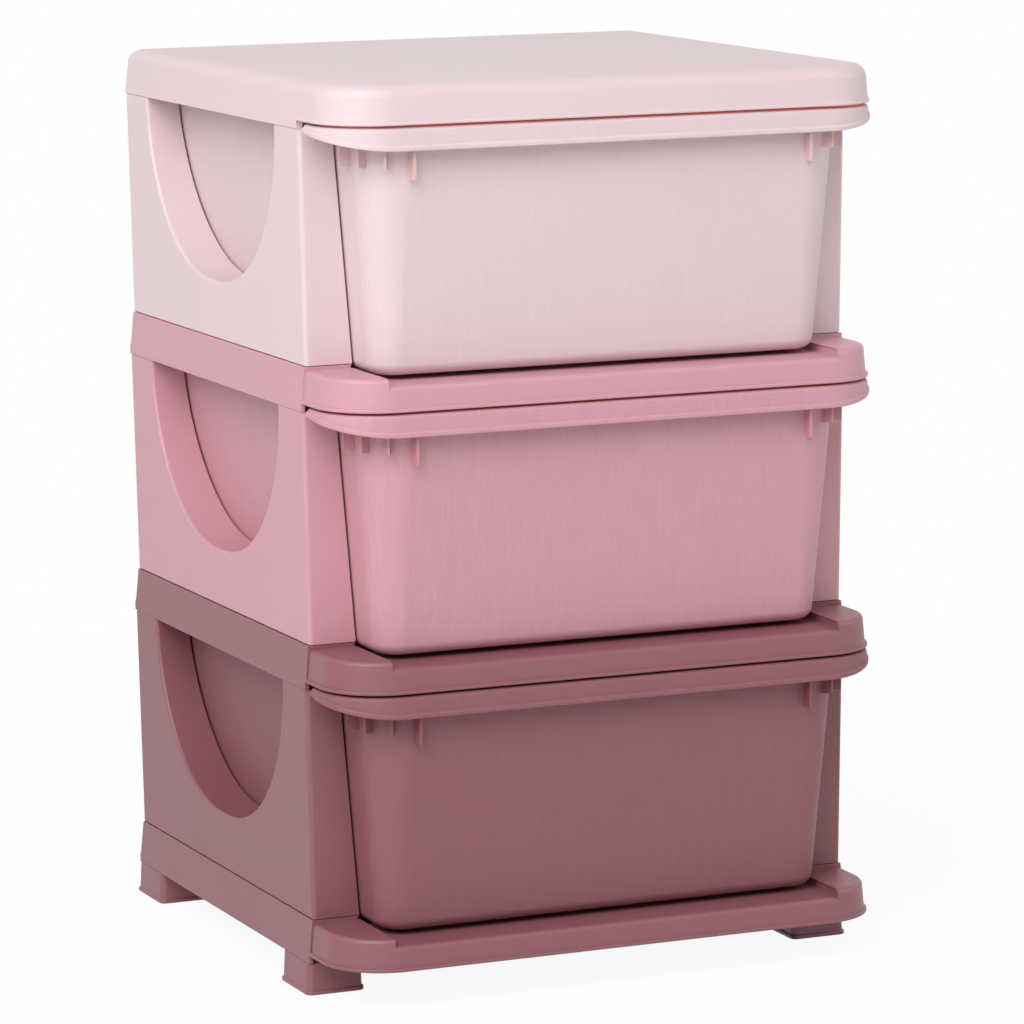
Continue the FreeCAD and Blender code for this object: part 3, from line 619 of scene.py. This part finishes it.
def cover_skins():
    """Flat cover with a well-rounded upper edge, a beaded lip, and ribs underneath."""
    moulding, shape = settings().moulding, settings().cover
    wall, lift, high = moulding.wall, moulding.lip_lift, shape.bead_height
    top, ceiling, bevel = COVER_HEIGHT, COVER_HEIGHT - wall, shape.edge_round - wall
    tray_bead = settings().tray.bead_proud
    inner = wall + tray_bead
    inside = [(inner + lean(z) + setback, z, (inner + lean(z) + setback, wall + lean(z) + setback, z))
              for z, setback in ((ceiling, bevel), (ceiling - bevel, 0.0))]
    inside.append((inner, lift, (inner, wall, 0.0)))
    out = lean(lift) - shape.bead_proud
    skirt = [(inset, inset, z) for inset, z in COVER_HEM]
    skirt += [(lean(z), lean(z), z) for z in (lift, lift + high, lift + 2 * high)]
    bead = [(out + inward * high, lift + up * high) for inward, up in COVER_BEAD]
    bead.append((lean(lift + high), lift + high + 0.1 * MM))
    outside = [(inset, z, zone) for (inset, z), zone in zip(bead, skirt)]
    for setback, drop in rounded(shape.edge_round, 12):
        z = top - drop
        inset = lean(z) + setback
        outside.append((inset, z, (inset, inset, z)))
    skins = Skins()
    # The underside gets painted glow, a redder tint that stands in for light through the plastic.
    skins.loft([lip_ring((inset, z), (inset, z), zone) for inset, z, zone in inside + outside],
               [TRAY_GLOW] * len(inside) + [0.0] * len(outside))
    rib_grid(skins, LIP_FRONT + tray_bead + 2 * wall + bevel, BACK - wall - bevel, ceiling, shape.rib_depth)
    return skins


def panel_outer(z):
    """Outer face of the right side panel, leaning out towards its top."""
    return HALF_WIDTH - settings().panel.inset - settings().moulding.draft * (1 - z / PANEL_HEIGHT)


def panel_inner(z):
    """Inner side of the right side panel, which follows the taper of the drawer."""
    foot = settings().tray.channel_half
    top = HALF_WIDTH - settings().panel.inset - settings().panel.top_thickness
    return foot + (top - foot) * z / PANEL_HEIGHT


def panel_ring(edge, seam, notch, depth):
    """Closed ring round a side panel and its notch, set in by so much at its upright edges, at its foot and
    top, and at the notch. Depth gives the place across the panel from a height."""
    shape, moulding = settings().panel, settings().moulding
    low, high = shape.foot_seam + seam, PANEL_HEIGHT - seam
    front = PANEL_FRONT + edge
    backs = [(BACK - shape.inset - moulding.back_draft * (1 - z / PANEL_HEIGHT) - edge, z)
             for z in (low, high)]
    radius = shape.notch_depth + notch
    reach = shape.notch_half - shape.notch_depth
    first = math.degrees(math.asin(seam / radius))
    arc = [(reach + radius * c, PANEL_HEIGHT - radius * s) for c, s in turn(NOTCH_STEPS, first, 90.0 - first)]
    outline = [(front, low), (PANEL_MIDDLE - shape.notch_half, low), (PANEL_MIDDLE + shape.notch_half, low)]
    outline += backs + [(PANEL_MIDDLE + y, z) for y, z in arc]
    outline += [(PANEL_MIDDLE - y, z) for y, z in reversed(arc)] + [(front, high)]
    return [(depth(z), y, z) for y, z in outline]


def panel_skins():
    """Right side panel: a thin moulding, open inwards, with a rimmed notch and ribs."""
    shape, moulding = settings().panel, settings().moulding
    wall, rim = moulding.wall, 0.4 * MM

    def setback(radius, depth):
        short = max(radius - depth, 0.0)
        return radius - math.sqrt(max(radius * radius - short * short, 0.0))

    rings = []
    for _, depth in reversed(rounded(shape.edge_round, 9)):
        edges = [setback(radius, depth) for radius in (shape.edge_round, moulding.seam, shape.notch_round)]
        rings.append(panel_ring(*edges, lambda z: panel_outer(z) - depth))
    rings.append(panel_ring(0.0, 0.0, 0.0, lambda z: panel_inner(z) + rim))
    rings.append(panel_ring(rim, rim, rim, panel_inner))
    inside = [panel_ring(wall, wall, wall, face) for face in (panel_inner, lambda z: panel_outer(z) - wall)]
    skins = Skins()
    # The inner faces get painted glow, a redder tint that stands in for light through the plastic.
    skins.loft(rings + inside, [0.0] * len(rings) + [PANEL_GLOW] * len(inside))
    reach = shape.notch_half - shape.notch_depth
    arch = PANEL_HEIGHT - math.sqrt(shape.notch_depth ** 2 - (shape.rib_near - reach) ** 2)
    for place_along, top in ((shape.rib_near, arch - wall / 2), (shape.rib_far, PANEL_HEIGHT - wall / 2)):
        for y in (PANEL_MIDDLE - place_along, PANEL_MIDDLE + place_along):
            near, far = y - moulding.rib / 2, y + moulding.rib / 2
            ends = []
            for z in (wall / 2, top):
                inner, outer = panel_inner(z) + shape.rib_recess, panel_outer(z) - wall / 2
                ends.append([(inner, near, z), (outer, near, z), (outer, far, z), (inner, far, z)])
            skins.loft(ends)
    return skins


def drawer_half(z):
    """Half of a drawer's width at a height above the panel seat."""
    return panel_inner(z) - settings().drawer.side_gap


def widening(z):
    """How much a drawer has widened on each side above the lower edge of its collar."""
    return max(drawer_half(z) - drawer_half(settings().drawer.collar), 0.0)


def drawer_front(z):
    """Front of a drawer at a height above the panel seat."""
    shape = settings().drawer
    foot = LIP_FRONT + shape.overhang + shape.front_lean
    collar = LIP_FRONT + shape.overhang + widening(PANEL_HEIGHT)
    return foot + (collar - foot) * min(z / shape.collar, 1.0) - widening(z)


def drawer_back(z):
    """Back of a drawer at a height above the panel seat."""
    clear = BACK - settings().moulding.back_draft - settings().drawer.back_gap
    stop, wall = settings().tray.back_stop, settings().moulding.wall
    return clear - stop + (stop - wall) * z / PANEL_HEIGHT


def drawer_rim():
    """Height of a drawer's rim above the panel seat."""
    return PANEL_HEIGHT + settings().moulding.lip_lift - settings().drawer.lip_gap


def tub_ring(z, inset):
    """Level section of a drawer, set in by so much."""
    shape = settings().drawer
    half, front, back = drawer_half(z) - inset, drawer_front(z) + inset, drawer_back(z) - inset
    near = shape.front_radius + drawer_half(z) - drawer_half(shape.collar) - inset
    far = shape.back_radius - inset
    side = corner_points((half - near, front + near), near, 270.0, 16)
    side += corner_points((half - far, back - far), far, 0.0, 10)
    return [(x, y, z) for x, y in side] + [(-x, y, z) for x, y in reversed(side)]


def tub_skin(skins):
    """Tapered tub with rounded corners and floor."""
    shape, wall = settings().drawer, settings().moulding.wall
    floor, rim = shape.floor_gap - settings().tray.channel_depth, drawer_rim()
    edge = 0.5 * MM

    def floor_edge(inset, radius, steps):
        return [tub_ring(floor + inset + radius - radius * s, inset + radius - radius * c)
                for c, s in turn(steps)]

    rings = floor_edge(0.0, shape.floor_round, 10)[::-1]
    rings += [tub_ring(shape.collar, 0.0), tub_ring(rim - edge, 0.0), tub_ring(rim, edge)]
    rings += [tub_ring(rim, wall - edge), tub_ring(rim - edge, wall), tub_ring(shape.collar, wall)]
    skins.loft(rings + floor_edge(wall, shape.floor_round - wall, 8))


def handle_low(x, y):
    """Lower edge of the handle: level along the front, and climbing round both corners."""
    shape, moulding = settings().drawer, settings().moulding
    along = (abs(x) - (HALF_WIDTH - moulding.lip_radius) + y - LIP_FRONT) / math.sqrt(2)
    past = along - shape.rise_start
    climbed = (past + math.hypot(past, shape.rise_blend)) / 2
    return PANEL_HEIGHT - shape.drop + climbed * math.tan(shape.rise)


def handle_skin(skins):
    """Handle along the front rim: a flange turned down into a beaded band."""
    shape, moulding = settings().drawer, settings().moulding
    wall, rim = moulding.wall, drawer_rim()
    high, bead, edge = shape.bead_height, shape.bead_proud, shape.edge_round
    end_round, end_straight, inner_round, sunk = 0.4 * MM, 4 * MM, 0.6 * MM, 0.6 * wall
    centre = (HALF_WIDTH - moulding.lip_radius, LIP_FRONT + moulding.lip_radius)
    near = shape.front_radius + widening(rim)
    tub_centre = (drawer_half(rim) - near, drawer_front(rim) + near)
    end = PANEL_FRONT - shape.end_gap
    outline = [((HALF_WIDTH, y), (1.0, 0.0), (tub_centre[0] + near, y))
               for y in (end, end - end_round, end - end_straight)]
    for c, s in turn(HANDLE_STEPS, 0.0, -90.0):
        outer = (centre[0] + moulding.lip_radius * c, centre[1] + moulding.lip_radius * s)
        outline.append((outer, (c, s), (tub_centre[0] + near * c, tub_centre[1] + near * s)))
    outline += [((-x, y), (-a, b), (-u, v)) for (x, y), (a, b), (u, v) in reversed(outline)]
    rings = []
    for number, ((x, y), (a, b), (u, v)) in enumerate(outline):
        low = handle_low(x, y)
        tip = end_round if number in (0, len(outline) - 1) else 0.0
        profile = [(bead + edge, rim - tip)]
        profile += [(bead + edge - edge * math.sin(angle) + tip, rim - edge + edge * math.cos(angle) - tip)
                    for angle in HANDLE_EDGE]
        profile.append((bead + tip, low + high + 0.3 * MM))
        profile += [(inward * bead + tip, low + up * high) for inward, up in HANDLE_BEAD]
        profile += [(0.9 * bead + tip, low + tip), (bead + wall - 0.4 * MM, low + tip),
                    (bead + wall, low + 0.5 * MM), (bead + wall, rim - wall - inner_round),
                    (bead + wall + inner_round, rim - wall)]
        ring = [(u - a * sunk, v - b * sunk, z) for z in (rim - wall, rim - tip)]
        for inset, z in profile:
            offset = inset - shape.proud
            ring.append((x - a * offset, y - b * offset, z))
        rings.append(ring)
    skins.loft(rings)


def runner_skins(skins):
    """Ribs under the floor that slide in the channel."""
    shape, low = settings().drawer, -settings().tray.channel_depth
    high = shape.floor_gap - settings().tray.channel_depth + settings().moulding.wall / 2
    front, back = drawer_front(0.0) + shape.runner_inset, drawer_back(0.0) - shape.runner_inset
    for x in (-shape.runner_spacing, 0.0, shape.runner_spacing):
        skins.block((x - shape.runner_width / 2, front, low), (x + shape.runner_width / 2, back, high))


def gusset_fan(name):
    """Geometry Nodes: upright ribs fanned round both front corners of a drawer, under its handle."""
    tree, start, end = node_group("GeometryNodeTree", name, {
        "Reach": "Float", "Thickness": "Float", "Height": "Float", "Front Height": "Float", "Radius": "Float",
        "Centre": "Vector", "Count": "Int", "Plastic": "Material"}, {"Geometry": "Geometry"})
    given = start.outputs

    def vector(x, y, z):
        return add_node(tree, "ShaderNodeCombineXYZ", {0: x, 1: y, 2: z}).outputs[0]

    def step(kind, source, **inputs):
        return add_node(tree, "GeometryNode" + kind, {"Geometry": source, **inputs}).outputs["Geometry"]

    blade = add_node(tree, "GeometryNodeMeshCube", {"Size": vector(given["Reach"], given["Thickness"], 1.0)})
    hung = step("Transform", blade.outputs["Mesh"], Translation=vector(given["Radius"], 0.0, -0.5))
    fan = add_node(tree, "GeometryNodeMeshLine", {"Count": given["Count"], "Offset": (0.0, 0.0, 0.0)})
    index = tree.nodes.new("GeometryNodeInputIndex").outputs[0]
    last = math_node(tree, "SUBTRACT", given["Count"], 1.0)
    angle = math_node(tree, "MULTIPLY", math_node(tree, "DIVIDE", index, last), -math.pi / 2)
    is_front = math_node(tree, "COMPARE", index, last, 0.1)
    longer = math_node(tree, "SUBTRACT", given["Front Height"], given["Height"])
    tall = math_node(tree, "ADD", given["Height"], math_node(tree, "MULTIPLY", longer, is_front))
    blades = add_node(tree, "GeometryNodeInstanceOnPoints", {
        "Points": fan.outputs["Mesh"], "Instance": hung,
        "Rotation": vector(0.0, 0.0, angle), "Scale": vector(1.0, 1.0, tall)})
    right = step("Transform", blades.outputs["Instances"], Translation=given["Centre"])
    left = step("Transform", right, Scale=(-1.0, 1.0, 1.0))
    both = add_node(tree, "GeometryNodeJoinGeometry", {"Geometry": right})
    feed(tree, both, {"Geometry": left})
    real = step("RealizeInstances", both.outputs["Geometry"])
    # Painted glow: the gussets get a redder tint that stands in for light coming through them.
    marked = step("StoreNamedAttribute", real, Name="glow", Value=GUSSET_GLOW)
    feed(tree, end, {"Geometry": step("SetMaterial", marked, Material=given["Plastic"])})
    return tree


def gusset_mesh(seat, material):
    """The gussets of one drawer as a plain mesh."""
    shape, moulding = settings().drawer, settings().moulding
    tree = built(gusset_fan)
    top = drawer_rim() - moulding.wall / 2
    foot = PANEL_HEIGHT - shape.gusset_drop
    radius = shape.front_radius + widening(foot)
    reach = shape.gusset_reach + moulding.wall / 2
    values = {
        "Reach": reach, "Thickness": moulding.rib, "Height": top - foot,
        "Front Height": top - PANEL_HEIGHT + shape.front_drop,
        "Radius": radius - moulding.wall / 2 + reach / 2,
        "Centre": (drawer_half(shape.collar) - shape.front_radius,
                   drawer_front(shape.collar) + shape.front_radius, seat + top),
        "Count": GUSSETS, "Plastic": material,
    }
    holder = bpy.data.objects.new("gusset_fan", bpy.data.meshes.new("gusset_fan"))
    bpy.context.scene.collection.objects.link(holder)
    modifier = holder.modifiers.new("Gusset fan", "NODES")
    modifier.node_group = tree
    for item in tree.interface.items_tree:
        if item.name in values:
            modifier[item.identifier] = values[item.name]
    plain_mesh(holder)
    mesh = holder.data
    bpy.data.objects.remove(holder)
    return mesh


def drawer_mesh(seat, material):
    """One drawer with its handle, gussets and runners."""
    skins = Skins()
    tub_skin(skins)
    handle_skin(skins)
    runner_skins(skins)
    fins = gusset_mesh(seat, material)
    body = skins.raised(seat).mesh("drawer")
    shape = bmesh.new()
    shape.from_mesh(body)
    shape.from_mesh(fins)
    finish_mesh(shape, body)
    bpy.data.meshes.remove(fins)
    return body


def foot_skins():
    """The feet: hollow blocks with a bead round the lower edge."""
    shape, wall = settings().foot, settings().moulding.wall
    proud, top, radius = shape.flare + shape.bead_proud, shape.height, shape.corner
    levels = [(-wall, top - wall), (-wall, 0.0), (proud - 0.5 * MM, 0.0), (proud - 0.1 * MM, 0.2 * MM),
              (proud, 0.7 * MM), (proud, 2.0 * MM), (proud - 0.25 * MM, 2.6 * MM),
              (shape.flare + 0.1 * MM, shape.bead_height), (0.0, top - 0.7 * MM),
              (-0.2 * MM, top - 0.2 * MM), (-0.7 * MM, top)]
    skins = Skins()
    for node in FEET:
        low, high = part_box(node)
        rings = []
        for grow, z in levels:
            inset = proud - grow
            left, right = low[0] + inset + radius, high[0] - inset - radius
            front, back = low[1] + inset + radius, high[1] - inset - radius
            ring = []
            for centre, start in (((right, front), 270.0), ((right, back), 0.0),
                                  ((left, back), 90.0), ((left, front), 180.0)):
                ring += [(x, y, z) for x, y in corner_points(centre, radius, start, 6)]
            rings.append(ring)
        skins.loft(rings)
    return skins


# Studio

def outward(azimuth, elevation):
    """Direction from the tower, in degrees to the right of the drawers' side and above the floor."""
    azimuth, elevation = math.radians(azimuth), math.radians(elevation)
    level = math.cos(elevation)
    return Vector((math.sin(azimuth) * level, -math.cos(azimuth) * level, math.sin(elevation)))


def seen_by_camera(tree):
    """1 for rays from the camera, and for those mirrored or passed on to it."""
    path = tree.nodes.new("ShaderNodeLightPath")
    seen = math_node(tree, "MAXIMUM", path.outputs["Is Camera Ray"], path.outputs["Is Glossy Ray"])
    return math_node(tree, "MAXIMUM", seen, path.outputs["Is Transmission Ray"])


def mix_seen(tree, amount, lit, seen, end):
    """Surface that mixes what lights or takes light with what the camera sees."""
    mix = add_node(tree, "ShaderNodeMixShader", {"Fac": amount, 1: lit.outputs[0], 2: seen.outputs[0]})
    feed(tree, tree.nodes[end], {"Surface": mix.outputs["Shader"]})


def studio_sky(scene, strength):
    """Even white light all round, and a white backdrop."""
    world = bpy.data.worlds.new("Studio sky")
    world.use_nodes = True
    tree = world.node_tree
    light = tree.nodes["Background"]
    feed(tree, light, {"Color": WHITE, "Strength": strength})
    backdrop = add_node(tree, "ShaderNodeBackground", {"Color": WHITE, "Strength": 1.0})
    mix_seen(tree, seen_by_camera(tree), light, backdrop, "World Output")
    scene.world = world


def studio_floor(scene):
    """Pale floor that keeps a faint shadow."""
    mesh = bpy.data.meshes.new("floor")
    corners = [(x * FLOOR_REACH, y * FLOOR_REACH, 0) for x, y in ((-1, -1), (1, -1), (1, 1), (-1, 1))]
    mesh.from_pydata(corners, [], [(0, 1, 2, 3)])
    floor = bpy.data.objects.new("floor", mesh)
    scene.collection.objects.link(floor)
    material = bpy.data.materials.new("Pale floor")
    material.use_nodes = True
    tree = material.node_tree
    matte = tree.nodes["Principled BSDF"]
    feed(tree, matte, {"Base Color": FLOOR_GREY, "Roughness": 0.9})
    white = add_node(tree, "ShaderNodeEmission", {"Strength": 1.0})
    place_on = tree.nodes.new("ShaderNodeTexCoord").outputs["Object"]
    away = add_node(tree, "ShaderNodeVectorMath", {0: place_on}, operation="LENGTH")
    fade = add_node(tree, "ShaderNodeMapRange", {
        "Value": away.outputs["Value"], "From Min": 0.3, "From Max": 1.1, "To Min": 0.93, "To Max": 1.0},
        interpolation_type="SMOOTHSTEP")
    amount = math_node(tree, "MULTIPLY", seen_by_camera(tree), fade.outputs[0])
    mix_seen(tree, amount, matte, white, "Material Output")
    mesh.materials.append(material)


def soft_lamp(scene, name, azimuth, elevation, watts):
    """Large square lamp that faces the tower. The azimuth turns to the right from the drawers' side."""
    lamp = bpy.data.lights.new(name, "AREA")
    lamp.size = LAMP_SIZE
    lamp.energy = watts
    holder = bpy.data.objects.new(name, lamp)
    towards = outward(azimuth, elevation)
    holder.location = LAMP_AIM + towards * LAMP_DISTANCE
    holder.rotation_euler = (-towards).to_track_quat("-Z", "Y").to_euler()
    scene.collection.objects.link(holder)


def glow_lamps(scene, tier, base, watts):
    """Strips behind the lip over a drawer and its corners, for the red light that the plastic lets through.
    Dark plastic stops it."""
    behind, corner_behind, above = 11 * MM, 19.5 * MM, 13 * MM
    passed = watts * getattr(settings().plastics, tier)[1] ** 2
    for side in (0, -1, 1):
        long, inward = (STRIP_CORNER, corner_behind) if side else (STRIP_FRONT, behind)
        lamp = bpy.data.lights.new("glow", "AREA")
        lamp.shape = "RECTANGLE"
        lamp.size, lamp.size_y = long, STRIP_HEIGHT
        lamp.color = STRIP_COLOUR
        lamp.energy = passed * long / STRIP_FRONT
        holder = bpy.data.objects.new("glow", lamp)
        holder.location = (side * (HALF_WIDTH - corner_behind), LIP_FRONT + inward, base + above)
        holder.rotation_euler.z = math.radians(45.0 * side)
        holder.visible_camera = False
        scene.collection.objects.link(holder)


def studio_camera(scene, lens):
    """Camera at the photo's place and angle."""
    azimuth, elevation, roll = -23.478, 9.197, math.radians(-0.468)
    target, distance = Vector((0.02108, PANEL_MIDDLE, 0.26607)), 3.37046
    back = outward(azimuth, elevation)
    right = outward(azimuth + 90.0, 0.0)
    up = back.cross(right)
    across = right * math.cos(roll) + up * math.sin(roll)
    upward = up * math.cos(roll) - right * math.sin(roll)
    camera = bpy.data.cameras.new("camera")
    camera.sensor_width = 36.0
    camera.lens = lens / MM
    camera.shift_x, camera.shift_y = 0.00111, -0.00123
    camera.clip_end = 50.0
    holder = bpy.data.objects.new("camera", camera)
    turned = Matrix((across, upward, back)).transposed().to_4x4()
    holder.matrix_world = Matrix.Translation(target + back * distance) @ turned
    scene.collection.objects.link(holder)
    scene.camera = holder


# Operators

class TOWER_OT_cover(bpy.types.Operator):
    """Makes the cover"""
    bl_idname = "tower.cover"
    bl_label = "Cover"

    def execute(self, context):
        mesh = cover_skins().raised(COVER_BASE).mesh("cover")
        place("cover_skin", mesh, "top", "smooth", "tower", ["top_cover"])
        return {"FINISHED"}


class TOWER_OT_trays(bpy.types.Operator):
    """Makes the base and both shelves"""
    bl_idname = "tower.trays"
    bl_label = "Shelves and base"

    def execute(self, context):
        skins = tray_skins()
        for node, tier, base in zip(TRAYS, TRAY_TIERS, BASES):
            place(node + "_skin", skins.raised(base).mesh(node), tier, "smooth", "tower", [node])
        return {"FINISHED"}


class TOWER_OT_panels(bpy.types.Operator):
    """Makes the side panels"""
    bl_idname = "tower.panels"
    bl_label = "Side panels"

    def execute(self, context):
        right = panel_skins()
        for tier, base in zip(TIERS, BASES):
            for side, skins in (("right", right), ("left", right.mirrored())):
                node = "side_panel_%s_%s" % (tier, side)
                mesh = skins.raised(base + SKIRT_HEIGHT).mesh(node)
                place(node + "_skin", mesh, tier, "panel", "tower", [node])
        return {"FINISHED"}


class TOWER_OT_drawers(bpy.types.Operator):
    """Makes the drawers"""
    bl_idname = "tower.drawers"
    bl_label = "Drawers"

    def execute(self, context):
        for tier, base in zip(TIERS, BASES):
            node = "drawer_" + tier
            mesh = drawer_mesh(base + SKIRT_HEIGHT, plastic(tier, "embossed"))
            place(node + "_skin", mesh, tier, "embossed", node + "_body", [node])
        return {"FINISHED"}


class TOWER_OT_feet(bpy.types.Operator):
    """Makes the feet"""
    bl_idname = "tower.feet"
    bl_label = "Feet"

    def execute(self, context):
        place("feet_skin", foot_skins().mesh("feet"), "bottom", "smooth", "tower", FEET)
        return {"FINISHED"}


class TOWER_OT_stage(bpy.types.Operator):
    """Sets up the floor, the light and the camera"""
    bl_idname = "tower.stage"
    bl_label = "Studio"

    def execute(self, context):
        scene, stage = context.scene, settings().stage
        scene.view_settings.view_transform = "Standard"
        studio_sky(scene, stage.sky)
        studio_floor(scene)
        for name, azimuth, elevation in LAMPS:
            soft_lamp(scene, name, azimuth, elevation, getattr(stage, name))
        for tier, base in zip(TIERS, BASES[1:] + [COVER_BASE]):
            glow_lamps(scene, tier, base, stage.glow)
        studio_camera(scene, stage.lens)
        return {"FINISHED"}


class TOWER_PT_panel(bpy.types.Panel):
    """Buttons that make the tower's pieces"""
    bl_idname = "TOWER_PT_panel"
    bl_label = "Drawer Tower"
    bl_space_type = "VIEW_3D"
    bl_region_type = "UI"
    bl_category = "Tower"

    def draw(self, context):
        for operator in OPERATORS:
            self.layout.operator(operator.bl_idname)


OPERATORS = (TOWER_OT_cover, TOWER_OT_trays, TOWER_OT_panels, TOWER_OT_drawers, TOWER_OT_feet, TOWER_OT_stage)
CLASSES = (TowerMoulding, TowerTray, TowerCover, TowerPanel, TowerDrawer, TowerFoot, TowerPlastics,
           TowerStage, TowerSettings, *OPERATORS, TOWER_PT_panel)


def register():
    for kind in CLASSES:
        bpy.utils.register_class(kind)
    bpy.types.Scene.drawer_tower = bpy.props.PointerProperty(type=TowerSettings)


def unregister():
    del bpy.types.Scene.drawer_tower
    for kind in reversed(CLASSES):
        bpy.utils.unregister_class(kind)


def main():
    """Makes every piece and the studio."""
    register()
    bpy.ops.tower.cover()
    bpy.ops.tower.trays()
    bpy.ops.tower.panels()
    bpy.ops.tower.drawers()
    bpy.ops.tower.feet()
    bpy.ops.tower.stage()


if __name__ == "__main__":
    main()
